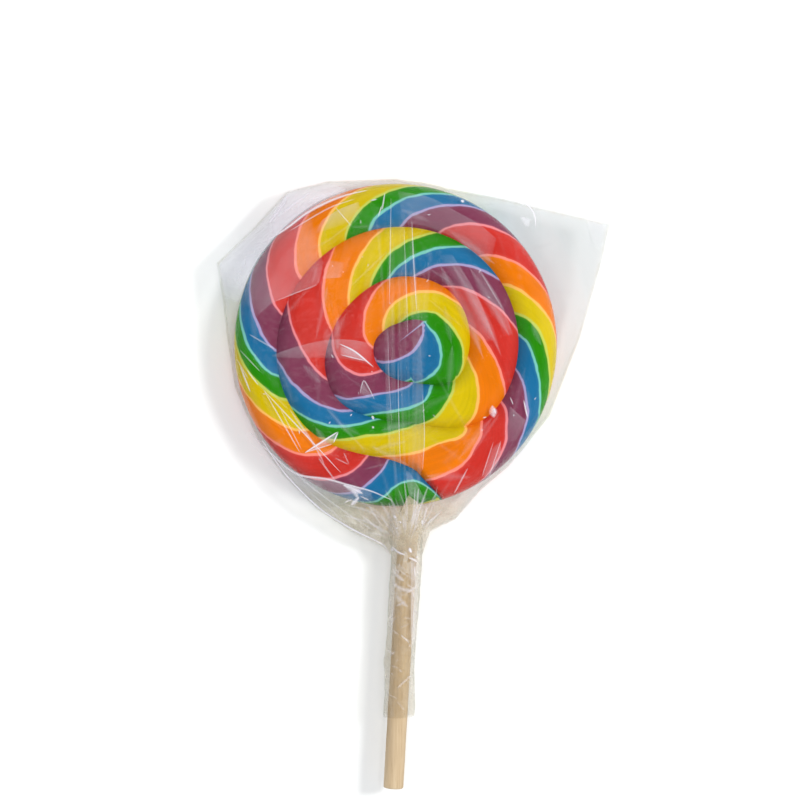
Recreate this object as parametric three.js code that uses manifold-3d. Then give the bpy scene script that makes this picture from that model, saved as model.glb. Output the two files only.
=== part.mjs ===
// A swirl lollipop in a clear film bag, lying on its back with its stick toward -Y.
// Millimetres, +Z up. The origin is on the floor, under the middle of the candy.

import * as THREE from 'three';
import { mergeGeometries, mergeVertices } from 'three/addons/utils/BufferGeometryUtils.js';
import Module from 'manifold-3d';

const wasm = await Module();
wasm.setup();

// ---- Candy: one sugar rope wound outward, counterclockwise seen from above, and pressed flat.
const CANDY_RADIUS = 40;
const CANDY_THICKNESS = 12;
const RIM_ROUNDING = 5.2; // how far in from the rim its rounding reaches
const ROUNDNESS = 2.2; // exponent of the rim's superellipse
const GROOVE_DEPTH = 1.9;
const GROOVE_REACH = 3.8; // how far from a groove the rope's flank reaches
const GROOVE_START = 39; // the turn angle, in degrees, where the groove begins near the centre
const GROOVE_FADE = 40; // the groove deepens over this angle
const ROPE_END = 1367; // the rope's thin end lies on the rim, just right of the stick
const TURN = 360;
const RIM_TURN = ROPE_END - TURN; // from here on, the rope's outer edge is the rim

// The groove between the turns: turn angle in degrees, distance from the centre in millimetres.
const GROOVE = [
  [39, 9.1], [78, 5.6], [125, 4.5], [166, 5.0], [236, 6.9], [291, 9.8],
  [307, 12.2], [328, 16.8], [350, 18.0], [400, 18.8], [440, 17.1], [490, 15.1],
  [530, 16.0], [560, 18.4], [585, 19.6], [620, 18.7], [645, 20.3], [665, 24.8],
  [680, 28.5], [705, 30.0], [750, 30.2], [810, 29.0], [860, 28.3], [940, 30.0],
  [982, 28.0], [998, 30.8], [1004, 36.0], [1007, 40.0],
];

// ---- Stick: a round wooden dowel, pushed into a socket in the rim.
const STICK_RADIUS = 2.5;
const STICK_EMBEDDED = 22;
const STICK_VISIBLE = 70.5;
const STICK_CHAMFER = 0.4;
const STICK_ENTRY = new THREE.Vector2(3.5, -39.4); // where its axis meets the rim
const STICK_LEAN = THREE.MathUtils.degToRad(3.3); // its free end lies this far toward -X

// ---- Film bag: tight over the candy, flat flaps round it, gathered and twisted round the stick.
const FILM = 0.4;
const CLEARANCE = 0.5; // air between neighbouring pieces
const POCKET_REACH = 9; // the two films meet at most this far out from the rim
const FLAP_EDGE = 0.3; // least width of the flat edge outside the pocket
const CORNER_CURL = 3; // how far the flap's corners stand up
const TAIL_RADIUS = 3.85;
const TAIL_TOP = -52;
const TAIL_END = -92;
const TAIL_RIPPLE = 0.35; // depth of the folds twisted along the tail
const TAIL_TWIST = 0.16; // radians of twist for each millimetre of tail
const TAIL_FOLDS = 3;

// The bag's outline, counterclockwise from the right of the neck to the left of it.
const BAG_OUTLINE = [
  [8.6, -46.1], [14.8, -43.2], [21.0, -36.0], [28.0, -30.0], [38.1, -17.6],
  [45.8, 2.0], [50.5, 18.8], [52.9, 29.8], [25.9, 36.4], [0, 41.2], [-17.0, 40.6],
  [-27.2, 38.0], [-34.8, 29.5], [-44.3, 20.3], [-42.8, 11.2], [-41.8, 2.0],
  [-39.8, -10.6], [-34.1, -23.6], [-27.9, -32.2], [-19.5, -40.7], [-11.3, -46.1],
  [-3.1, -50.1],
];

// ---- Fineness
const STATION_ANGLE = 8; // degrees along the rope
const ROPE_STRIPS = 8; // across the rope
const CORE_STRIPS = 3; // from the centre to the rope's first turn
const STICK_SIDES = 16;
const SPOKE_ANGLE = 8; // most degrees between the film's spokes
const TAIL_SIDES = 12;
const TAIL_RINGS = 18;
const FLAT_LEVELS = [0, 0.5, 0.8, 1]; // rings of the film over the candy's flat face
const SLOPE_LEVELS = [0.25, 0.48, 0.68, 0.84, 0.95, 1]; // rings from the flat face to the pocket's edge
const WELD = 1e-3;

const MID_HEIGHT = CANDY_THICKNESS / 2 + CLEARANCE + FILM;
const FLAT_RADIUS = CANDY_RADIUS - RIM_ROUNDING;
const { degToRad, lerp, clamp, smoothstep } = THREE.MathUtils;

// ---- Building blocks

/** A grid of points bent from a plane; it faces the way row direction × column direction points. */
function sheet(rows, columns, pointAt) {
  const geometry = new THREE.PlaneGeometry(1, 1, columns, rows);
  const position = geometry.getAttribute('position');
  for (let row = 0; row <= rows; row++) {
    for (let column = 0; column <= columns; column++) {
      position.setXYZ(row * (columns + 1) + column, ...pointAt(row, column));
    }
  }
  geometry.deleteAttribute('normal');
  geometry.deleteAttribute('uv');
  return geometry;
}

/** A closed solid from sheets that meet edge to edge, without the triangles that shrank to a line. */
function solid(...sheets) {
  const bare = sheets.map((part) => part.deleteAttribute('normal').deleteAttribute('uv'));
  const joined = mergeVertices(mergeGeometries(bare), WELD);
  const corners = joined.index.array;
  const triVerts = [];
  for (let i = 0; i < corners.length; i += 3) {
    const triangle = [...corners.slice(i, i + 3)];
    if (new Set(triangle).size === 3) triVerts.push(...triangle);
  }
  return new wasm.Manifold(new wasm.Mesh({
    numProp: 3,
    vertProperties: joined.getAttribute('position').array,
    triVerts: Uint32Array.from(triVerts),
  }));
}

/** A named three.js mesh of a solid. */
function meshOf(name, made, material) {
  const { vertProperties, triVerts } = made.getMesh();
  const geometry = new THREE.BufferGeometry();
  geometry.setAttribute('position', new THREE.BufferAttribute(vertProperties, 3));
  geometry.setIndex(new THREE.BufferAttribute(triVerts, 1));
  geometry.computeVertexNormals();
  const mesh = new THREE.Mesh(geometry, new THREE.MeshStandardMaterial(material));
  mesh.name = name;
  return mesh;
}

/** A smooth curve through [position, value] keys, with each key's slope taken from its neighbours. */
function curveThrough(keys) {
  const slopes = keys.map((key, i) => {
    const before = keys[Math.max(i - 1, 0)];
    const after = keys[Math.min(i + 1, keys.length - 1)];
    return (after[1] - before[1]) / (after[0] - before[0]);
  });
  return (at) => {
    const next = keys.findIndex((key) => key[0] >= at);
    const i = clamp(next - 1, 0, keys.length - 2);
    const span = keys[i + 1][0] - keys[i][0];
    const s = (at - keys[i][0]) / span;
    return (
      keys[i][1] * (1 + 2 * s) * (1 - s) ** 2 +
      slopes[i] * span * s * (1 - s) ** 2 +
      keys[i + 1][1] * s * s * (3 - 2 * s) -
      slopes[i + 1] * span * s * s * (1 - s)
    );
  };
}

/** A rounded shoulder: 1 at its start, 0 at its end, by a superellipse. */
function shoulder(along, roundness) {
  return (1 - clamp(along, 0, 1) ** roundness) ** (1 / roundness);
}

function polar(radius, degrees) {
  return [radius * Math.cos(degToRad(degrees)), radius * Math.sin(degToRad(degrees))];
}

// ---- Candy

const grooveCurve = curveThrough(GROOVE);

/** The rope's outer edge: the groove, then the rim. */
function outerEdge(turn) {
  return turn < RIM_TURN ? grooveCurve(turn) : CANDY_RADIUS;
}

/** The rope's inner edge: the groove one turn before, and in the first turn a closed curve. */
function innerEdge(turn) {
  if (turn >= GROOVE_START + TURN) return outerEdge(turn - TURN);
  const firstTurn = (turn - GROOVE_START) / TURN;
  const closing = outerEdge(GROOVE_START) / outerEdge(GROOVE_START + TURN);
  return outerEdge(turn) * lerp(1, closing, firstTurn);
}

function grooveCut(distance, turn) {
  if (turn < GROOVE_START || turn >= RIM_TURN) return 0;
  const deepened = smoothstep(turn, GROOVE_START, GROOVE_START + GROOVE_FADE);
  return GROOVE_DEPTH * deepened * (1 - clamp(distance / GROOVE_REACH, 0, 1)) ** 2;
}

/** Half the candy's thickness at a turn angle and a distance from the centre. */
function halfThickness(turn, radius) {
  const rim = shoulder(1 - (CANDY_RADIUS - radius) / RIM_ROUNDING, ROUNDNESS);
  const outerCut = grooveCut(outerEdge(turn) - radius, turn);
  const innerCut = grooveCut(radius - innerEdge(turn), turn - TURN);
  return rim * (CANDY_THICKNESS / 2 - outerCut - innerCut);
}

function candyPoint(turn, radius, face) {
  return [...polar(radius, turn), MID_HEIGHT + face * halfThickness(turn, radius)];
}

/** The rope's face on one side: face is 1 for the top and -1 for the underside. */
function ropeFace(face) {
  const stations = (ROPE_END - GROOVE_START) / STATION_ANGLE;
  return sheet(ROPE_STRIPS, stations, (row, station) => {
    const turn = GROOVE_START + station * STATION_ANGLE;
    const strip = face > 0 ? row : ROPE_STRIPS - row;
    const across = (1 - Math.cos((Math.PI * strip) / ROPE_STRIPS)) / 2;
    return candyPoint(turn, lerp(innerEdge(turn), outerEdge(turn), across), face);
  });
}

/** The face inside the rope's first turn. */
function coreFace(face) {
  return sheet(CORE_STRIPS, TURN / STATION_ANGLE, (row, station) => {
    const turn = GROOVE_START + station * STATION_ANGLE;
    const strip = face > 0 ? row : CORE_STRIPS - row;
    return candyPoint(turn, (innerEdge(turn) * strip) / CORE_STRIPS, face);
  });
}

function makeCandy() {
  const coil = solid(ropeFace(1), coreFace(1), ropeFace(-1), coreFace(-1));
  const depth = STICK_EMBEDDED + CLEARANCE;
  const radius = STICK_RADIUS + CLEARANCE;
  const socket = new THREE.CylinderGeometry(radius, radius, 2 * depth, STICK_SIDES);
  const candy = coil.subtract(solid(alongStick(socket)));
  return meshOf('candy', candy, { color: '#d4452f', roughness: 0.25, metalness: 0 });
}

// ---- Stick

/** Turns a shape made along Y, with the rim at its origin, onto the stick's leaning axis. */
function alongStick(geometry) {
  return geometry.rotateZ(-STICK_LEAN).translate(STICK_ENTRY.x, STICK_ENTRY.y, MID_HEIGHT);
}

function makeStick() {
  const inset = STICK_RADIUS - STICK_CHAMFER;
  const profile = [
    [0, -STICK_VISIBLE],
    [inset, -STICK_VISIBLE],
    [STICK_RADIUS, STICK_CHAMFER - STICK_VISIBLE],
    [STICK_RADIUS, STICK_EMBEDDED - STICK_CHAMFER],
    [inset, STICK_EMBEDDED],
    [0, STICK_EMBEDDED],
  ];
  const points = profile.map(([x, y]) => new THREE.Vector2(x, y));
  const dowel = new THREE.LatheGeometry(points, STICK_SIDES);
  return meshOf('stick', solid(alongStick(dowel)), { color: '#c7a57a', roughness: 0.7, metalness: 0 });
}

// ---- Film bag

/** A point of the twisted tail: shrink is 0 for its outside and the film's thickness for its inside. */
function tailPoint(y, angle, shrink) {
  const twist = TAIL_TWIST * (y - TAIL_TOP);
  const radius = TAIL_RADIUS + TAIL_RIPPLE * Math.cos(TAIL_FOLDS * angle + twist) - shrink;
  const axisX = STICK_ENTRY.x + (y - STICK_ENTRY.y) * Math.tan(STICK_LEAN);
  return [axisX + radius * Math.cos(angle), y, MID_HEIGHT + radius * Math.sin(angle)];
}

/** The film's spokes: where each ends at the pocket's edge and at the bag's outline. */
function spokes(shrink) {
  const made = [];
  for (let side = TAIL_SIDES / 2; side >= 0; side--) {
    const [x, y, z] = tailPoint(TAIL_TOP, (side * 2 * Math.PI) / TAIL_SIDES, shrink);
    const end = new THREE.Vector2(x, y);
    made.push({ edge: end, outline: end, rise: z - MID_HEIGHT });
  }
  const corners = BAG_OUTLINE.map((corner) => new THREE.Vector2(...corner));
  const neckLeft = new THREE.Vector2(...tailPoint(TAIL_TOP, Math.PI, 0));
  const neckRight = new THREE.Vector2(...tailPoint(TAIL_TOP, 0, 0));
  corners.forEach((corner, i) => {
    const before = i ? corners[i - 1] : neckRight;
    made.push(...spokesBetween(before, corner, shrink));
  });
  const last = spokesBetween(corners.at(-1), neckLeft, shrink);
  return [...made, ...last.slice(0, -1)];
}

/** Spokes along one straight stretch of the outline, without its first point. */
function spokesBetween(from, to, shrink) {
  const turn = Math.abs(Math.atan2(from.cross(to), from.dot(to)));
  const count = Math.ceil(turn / degToRad(SPOKE_ANGLE));
  return Array.from({ length: count }, (_, i) => {
    const outline = from.clone().lerp(to, (i + 1) / count);
    const least = CANDY_RADIUS + CLEARANCE + FILM + FLAP_EDGE;
    outline.setLength(Math.max(outline.length(), least));
    const pocket = Math.min(outline.length() - FLAP_EDGE, CANDY_RADIUS + POCKET_REACH);
    return { edge: outline.clone().setLength(pocket - shrink), outline, rise: FILM - shrink };
  });
}

/** How far a flap's corner stands up, growing outward from the rim. */
function curl(x, y) {
  const beyond = Math.max(0, Math.hypot(x, y) - CANDY_RADIUS) / 20;
  const upper = smoothstep(y, 0, CANDY_RADIUS / 2);
  return CORNER_CURL * upper * Math.sin(3 * Math.atan2(y, x)) * beyond ** 1.5;
}

/** A point of one film at a level: 0 is the middle, and the last level is the bag's outline. */
function filmPoint(spoke, level, face, shrink) {
  const top = CANDY_THICKNESS / 2 + CLEARANCE + FILM - shrink;
  const margin = spoke.edge.length() - CANDY_RADIUS;
  const slopeLevel = level - FLAT_LEVELS.length;
  let place = spoke.outline;
  let height = spoke.rise;
  if (slopeLevel < 0) {
    place = spoke.edge.clone().setLength(FLAT_RADIUS * FLAT_LEVELS[level]);
    height = top;
  } else if (slopeLevel < SLOPE_LEVELS.length) {
    const along = SLOPE_LEVELS[slopeLevel];
    const roundness = lerp(ROUNDNESS, 1.25, smoothstep(margin, 0, POCKET_REACH));
    place = spoke.edge.clone().setLength(lerp(FLAT_RADIUS, spoke.edge.length(), along));
    height = lerp(spoke.rise, top, shoulder(along, roundness));
  }
  return [place.x, place.y, MID_HEIGHT + curl(place.x, place.y) + face * height];
}

/** One film of the bag, from its middle to its last level; facing 1 turns it up, -1 down. */
function filmSheet(ring, face, facing, shrink) {
  const levels = FLAT_LEVELS.length + SLOPE_LEVELS.length - (shrink ? 1 : 0);
  return sheet(levels, ring.length, (row, column) => {
    const level = facing > 0 ? row : levels - row;
    return filmPoint(ring[column % ring.length], level, face, shrink);
  });
}

/** The narrow edge that joins the two films along the outline. */
function outlineEdge(ring) {
  const level = FLAT_LEVELS.length + SLOPE_LEVELS.length;
  const first = TAIL_SIDES / 2;
  return sheet(1, ring.length - first, (row, column) => {
    const spoke = ring[(first + column) % ring.length];
    return filmPoint(spoke, level, row ? -1 : 1, 0);
  });
}

/** The tail's wall; facing 1 turns it outward, -1 inward. */
function tailWall(facing, shrink) {
  return sheet(TAIL_RINGS, TAIL_SIDES, (row, side) => {
    const ring = facing > 0 ? TAIL_RINGS - row : row;
    const y = lerp(TAIL_TOP, TAIL_END, ring / TAIL_RINGS);
    return tailPoint(y, ((side % TAIL_SIDES) * 2 * Math.PI) / TAIL_SIDES, shrink);
  });
}

/** The film's cut end round the tail's open mouth. */
function tailMouth() {
  return sheet(1, TAIL_SIDES, (row, side) => (
    tailPoint(TAIL_END, ((side % TAIL_SIDES) * 2 * Math.PI) / TAIL_SIDES, row ? 0 : FILM)
  ));
}

function makeWrapper() {
  const outside = spokes(0);
  const inside = spokes(FILM);
  const bag = solid(
    filmSheet(outside, 1, 1, 0),
    filmSheet(outside, -1, -1, 0),
    outlineEdge(outside),
    filmSheet(inside, 1, -1, FILM),
    filmSheet(inside, -1, 1, FILM),
    tailWall(1, 0),
    tailWall(-1, FILM),
    tailMouth(),
  );
  const material = { color: '#eef1f2', roughness: 0.15, metalness: 0, transparent: true, opacity: 0.3 };
  return meshOf('wrapper', bag, material);
}

const lollipop = new THREE.Group();
lollipop.name = 'swirl_lollipop';
lollipop.add(makeCandy(), makeStick(), makeWrapper());

export default lollipop;
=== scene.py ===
"""A swirl lollipop in its clear film bag: the looks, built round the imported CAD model.

Shapes are worked out in millimetres, in the frame's own axes, and made as meshes in metres.
"""

import math

import bmesh
import bpy
import numpy as np
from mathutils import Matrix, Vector


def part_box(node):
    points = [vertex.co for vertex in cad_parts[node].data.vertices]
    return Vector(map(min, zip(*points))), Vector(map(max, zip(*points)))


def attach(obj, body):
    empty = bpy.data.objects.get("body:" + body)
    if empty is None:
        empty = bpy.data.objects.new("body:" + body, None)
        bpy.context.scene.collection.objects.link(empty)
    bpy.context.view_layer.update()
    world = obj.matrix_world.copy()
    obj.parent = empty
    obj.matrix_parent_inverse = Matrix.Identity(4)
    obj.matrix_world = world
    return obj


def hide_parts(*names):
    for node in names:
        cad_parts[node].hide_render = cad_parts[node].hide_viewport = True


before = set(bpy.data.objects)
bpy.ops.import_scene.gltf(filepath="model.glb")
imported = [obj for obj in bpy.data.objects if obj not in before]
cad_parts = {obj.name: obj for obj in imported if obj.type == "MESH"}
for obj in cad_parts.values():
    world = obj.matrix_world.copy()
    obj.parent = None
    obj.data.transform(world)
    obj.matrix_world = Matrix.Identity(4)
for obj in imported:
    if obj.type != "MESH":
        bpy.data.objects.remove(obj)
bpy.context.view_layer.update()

MM = 0.001
TURN = 360
WELD = 4e-4  # millimetres
SHARP_ANGLE = math.radians(50)  # a fold sharper than this isn't shaded smooth
# What the random draws start from, for each thing that is uneven.
SEED = {"lumps": 3, "grain": 21, "streaks": 11, "pleats": 5, "crumple": 31, "flaps": 41, "folds": 23}
CREASE_SEED = {1: 7, -1: 8}  # one for each face of the bag
PUFF_SEED = {1: 17, -1: 18}

# ---- Candy: one striped sugar rope wound outward and pressed flat, the same form as its CAD node
CANDY_LOW, CANDY_HIGH = (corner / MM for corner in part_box("candy"))
MID_HEIGHT = (CANDY_LOW.z + CANDY_HIGH.z) / 2
HALF_THICKNESS = (CANDY_HIGH.z - CANDY_LOW.z) / 2
CANDY_RADIUS = 40.0
RIM_ROUNDING = 5.2  # how far in from the rim its rounding reaches
ROUNDNESS = 2.2  # exponent of the rim's superellipse
FLAT_RADIUS = CANDY_RADIUS - RIM_ROUNDING
GROOVE_DEPTH = 1.9
GROOVE_REACH = 3.8
GROOVE_START = 39  # the turn angle, in degrees, where the groove begins near the centre
GROOVE_FADE = 40
ROPE_END = 1367
RIM_TURN = ROPE_END - TURN  # from here on, the rope's outer edge is the rim
LUMP = 0.12  # how uneven the pressed face is
LUMP_SIZE = 9.0

# The groove between the turns: turn angle in degrees, distance from the centre.
GROOVE = [
    (39, 9.1), (78, 5.6), (125, 4.5), (166, 5.0), (236, 6.9), (291, 9.8),
    (307, 12.2), (328, 16.8), (350, 18.0), (400, 18.8), (440, 17.1), (490, 15.1),
    (530, 16.0), (560, 18.4), (585, 19.6), (620, 18.7), (645, 20.3), (665, 24.8),
    (680, 28.5), (705, 30.0), (750, 30.2), (810, 29.0), (860, 28.3), (940, 30.0),
    (982, 28.0), (998, 30.8), (1004, 36.0), (1007, 40.0),
]

# ---- Stripes: six colours in turn, counted in cycles; each colour's share of one cycle starts here.
STRIPES = [
    ("orange", 0.0, (0.86, 0.198, 0.0)),
    ("red", 0.18, (0.63, 0.032, 0.022)),
    ("purple", 0.41, (0.222, 0.042, 0.090)),
    ("blue", 0.585, (0.010, 0.155, 0.34)),
    ("green", 0.72, (0.020, 0.255, 0.0)),
    ("yellow", 0.84, (0.69, 0.505, 0.0)),
]
STRIPE_STARTS = [start for _, start, _ in STRIPES]

# The turn angle where each colour starts, in the middle of the rope's width, cycle by cycle.
STRIPE_TURNS = [
    (445, 502, 573, 609, 652, 669),
    (691, 714, 748, 775, 794, 813),
    (836, 865, 902, 933, 955, 973),
    (1007, 1033, 1044.5, 1057, 1071, 1086),
    (1099, 1116, 1138, 1155, 1170.5, 1184),
    (1200.5, 1216, 1235, 1251, 1265, 1276),
    (1292, 1311, 1329, 1340, 1351),
]
FIRST_PHASE = (399, -0.115)  # where the rope's first full turn begins
LAST_PHASE = (1367, 6.78)
SLANT = 0.29  # how many cycles the stripes shift from the rope's inner to its outer edge
TAIL_SLANT = 0.18  # the same at the rope's thin end
TAIL_EASING = (1330, 1350)
RIM_SHIFT = 0.105  # cycles that the stripes shift down the rounding to the middle of the rim, less at the end
# Where the last turn swells out to the rim, its stripes still cross it as if it were this wide.
STRIPE_WIDTHS = [
    (973, 9.4), (987, 10.5), (1007, 12.1), (1016, 12.2), (1024, 10.6), (1032, 8.0),
    (1041, 8.6), (1054, 10.8),
]
# Where the stripes bend: turn angle, place across the rope, shift in cycles, and how far it reaches.
STRIPE_BENDS = [
    (1026, -0.42, -0.085, 7, 0.26), (1036, -0.26, 0.04, 4.5, 0.25), (1032, 0.95, -0.03, 6, 0.3),
]

# The stripes of the first turn, round the centre: how far out each line runs at a turn angle.
CENTRE_PHASE = -0.52
FIRST_TURN_LINES = [
    (-0.415, [(215, 6.42), (252, 4.4), (308, 3.8), (360, 5.6), (388, 8.0), (399, 9.1)]),
    (-0.28, [(285, 9.5), (301, 10.7), (315, 11.5), (336, 12.1), (354, 11.1), (374, 10.1),
             (391, 8.9), (399, 9.2)]),
    (-0.16, [(330, 17.3), (343, 17.2), (356, 16.6), (370, 15.4), (385, 13.8), (399, 12.5)]),
]
FIRST_TURN_EDGE = [
    (39, -0.415), (43, -0.46), (70, -0.49), (125, -0.49), (190, -0.45), (215, -0.415), (252, -0.35),
    (285, -0.28), (310, -0.22), (330, -0.16), (360, -0.10), (399, 0.03),
]

# ---- Stick
STICK_RADIUS = 2.5
STICK_EMBEDDED = 22.0
STICK_VISIBLE = 70.5
STICK_ROUNDING = 0.4
STICK_ENTRY = (3.5, -39.4)  # where its axis meets the rim
STICK_LEAN = math.radians(3.3)
SOCKET_GAP = 0.08
SOCKET_PHASE = 0.3  # the socket's wall is red sugar
WOOD_RELIEF = 0.05
GRAIN_SIZE = 6.0
GRAIN_FINENESS = 14  # round the stick, the grain is this much finer than its size; along it, half as fine

# ---- Film bag
FILM = 0.08
SEAM = 0.34  # half the distance between the two films at the bag's edge
CLEARANCE = 0.42
UNDERSIDE_CLEARANCE = 0.80  # the CAD bag's underside rests on the floor, and so does this one
FLOOR_GAP = 0.02  # between the bag and height 0, and between that and the floor
FLAP_WAVES = 0.2
POCKET_REACH = 9.0
FLAP_EDGE = 0.3
CORNER_CURL = 3.0
TAIL_RADIUS = 3.85
TAIL_TOP = -52.0
TAIL_END = -92.0
NECK = (2.8, -50.0)
MIDDLE_FLAP_SHADE = 0.5  # the film's painted light and shade, in the middle; the left flaps, in the candy's shadow, get painted light, 0, and the right ones painted shade, 1

# The bag's outline, counterclockwise from the right of the neck to the left of it.
BAG_OUTLINE = [
    (8.6, -46.1), (14.8, -43.2), (21.0, -36.0), (28.0, -30.0), (38.1, -17.6),
    (45.8, 2.0), (50.5, 18.8), (52.9, 29.8), (25.9, 36.4), (0, 41.2), (-17.0, 40.6),
    (-27.2, 38.0), (-34.8, 29.5), (-44.3, 20.3), (-42.8, 11.2), (-41.8, 2.0),
    (-39.8, -10.6), (-34.1, -23.6), (-27.9, -32.2), (-19.5, -40.7), (-11.3, -46.1),
    (-3.1, -50.1),
]

# ---- Fineness
STATION_ANGLE = 4 / 3  # degrees along the rope; it divides a turn and the rope's whole length
ROPE_STRIPS = 22
CORE_STRIPS = 12
STEEPNESS_RANGE = (0.01, 0.4)  # of the stripes' phase, in cycles a millimetre
PULL_ACROSS, PULL_ALONG = 60, 1.2  # streaks in a cycle across the rope, and in a radian along it
STICK_SIDES = 48
DOWEL_STEP = 0.6
DOWEL_END_LEVELS = 5
LINE_STEP = 0.7  # along a crease, and then along and across a facet
FACET_STEP = 1.1
SPOKE_STEP = math.radians(1.05)
TAIL_HALF_SIDES = 32
TAIL_RINGS = 110
FLAT_LEVELS = 38
SLOPE_LEVELS = 32
UNDERSIDE_FLAT_LEVELS = 8
UNDERSIDE_SLOPE_LEVELS = 16


# ---- Curves and noise

def smoothstep(value, low, high):
    share = np.clip((value - low) / (high - low), 0, 1)
    return share * share * (3 - 2 * share)


def stretch(value, begin, full, fading, end):
    """1 between full and fading, and 0 outside begin and end."""
    return smoothstep(value, begin, full) * (1 - smoothstep(value, fading, end))


def mix(a, b, share):
    return a + (b - a) * share


def polar(radius, angle, x=0, y=0):
    """The x and y of a point at a distance and in a direction, from another point."""
    return x + radius * np.cos(angle), y + radius * np.sin(angle)


def curve_through(keys):
    """A smooth curve through (position, value) keys, with each key's slope taken from its neighbours."""
    place, value = np.array(keys, float).T
    before = np.maximum(np.arange(len(place)) - 1, 0)
    after = np.minimum(np.arange(len(place)) + 1, len(place) - 1)
    slope = (value[after] - value[before]) / (place[after] - place[before])

    def curve(at):
        at = np.asarray(at, float)
        i = np.clip(np.searchsorted(place, at) - 1, 0, len(place) - 2)
        span = place[i + 1] - place[i]
        s = (at - place[i]) / span
        return (
            value[i] * (1 + 2 * s) * (1 - s) ** 2
            + slope[i] * span * s * (1 - s) ** 2
            + value[i + 1] * s * s * (3 - 2 * s)
            - slope[i + 1] * span * s * s * (1 - s)
        )

    return curve


def shoulder(along, roundness):
    """A rounded shoulder: 1 at its start, 0 at its end, by a superellipse."""
    return (1 - np.clip(along, 0, 1) ** roundness) ** (1 / roundness)


def uneven(x, y, size, seed, waves=9):
    """A smooth uneven field between about -1 and 1, its bumps as wide as size."""
    draw = np.random.default_rng(seed)
    field = 0
    for _ in range(waves):
        heading, start = draw.uniform(0, 2 * math.pi, 2)
        pitch = 2 * math.pi / (size * draw.uniform(0.7, 1.6))
        field = field + np.cos(pitch * (x * math.cos(heading) + y * math.sin(heading)) + start)
    return field / math.sqrt(waves)


# ---- Meshes

def grid_faces(rows, columns, flip):
    """Corner numbers of each quad of a grid of points, (rows + 1) by (columns + 1)."""
    row, column = np.meshgrid(np.arange(rows), np.arange(columns), indexing="ij")
    first = (row * (columns + 1) + column).ravel()
    quads = np.stack([first, first + 1, first + columns + 2, first + columns + 1], axis=1)
    return quads[:, ::-1] if flip else quads


def make_piece(name, sheets):
    """A closed mesh object from sheets of points that meet edge to edge.

    A sheet is (points, flip, data). Its points lie on a grid, and data holds what the material reads at
    each of them: pairs are kept as a UV map, and single numbers as a point attribute.
    """
    points, faces, data, start = [], [], [], 0
    for grid, flip, sheet_data in sheets:
        rows, columns = grid.shape[:2]
        points.append(grid.reshape(-1, 3))
        faces.append(grid_faces(rows - 1, columns - 1, flip) + start)
        data.append({
            key: np.broadcast_to(value, (rows, columns, *np.shape(value)[2:])).reshape(rows * columns, -1)
            for key, value in sheet_data.items()})
        start += rows * columns
    mesh = bpy.data.meshes.new(name)
    mesh.from_pydata((np.concatenate(points) * MM).tolist(), [], np.concatenate(faces).tolist())
    corners = np.empty(len(mesh.loops), int)
    mesh.loops.foreach_get("vertex_index", corners)
    for key in data[0]:
        numbers = np.concatenate([sheet[key] for sheet in data]).astype(np.float32)
        if numbers.shape[1] == 2:
            mesh.uv_layers.new(name=key).data.foreach_set("uv", numbers[corners].ravel())
        else:
            mesh.attributes.new(key, "FLOAT", "POINT").data.foreach_set("value", numbers.ravel())
    weld(mesh)
    mesh.polygons.foreach_set("use_smooth", [True] * len(mesh.polygons))
    mesh.set_sharp_from_angle(angle=SHARP_ANGLE)
    return link(name, mesh)


def link(name, data):
    """An object in the scene that shows a mesh, a light or a camera."""
    thing = bpy.data.objects.new(name, data)
    bpy.context.scene.collection.objects.link(thing)
    return thing


def weld(mesh):
    """Joins the sheets where they meet, and drops faces that shrank to a line."""
    work = bmesh.new()
    work.from_mesh(mesh)
    bmesh.ops.remove_doubles(work, verts=work.verts, dist=WELD * MM)
    bmesh.ops.dissolve_degenerate(work, edges=work.edges, dist=WELD * MM / 4)
    work.to_mesh(mesh)
    work.free()


def along_stick(across, along, up):
    """Points from the stick's own axes, with the rim at 0 and the free end at negative along."""
    x = STICK_ENTRY[0] + across * math.cos(STICK_LEAN) + along * math.sin(STICK_LEAN)
    y = STICK_ENTRY[1] - across * math.sin(STICK_LEAN) + along * math.cos(STICK_LEAN)
    return np.stack(np.broadcast_arrays(x, y, MID_HEIGHT + up), axis=-1)


# ---- Materials

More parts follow.
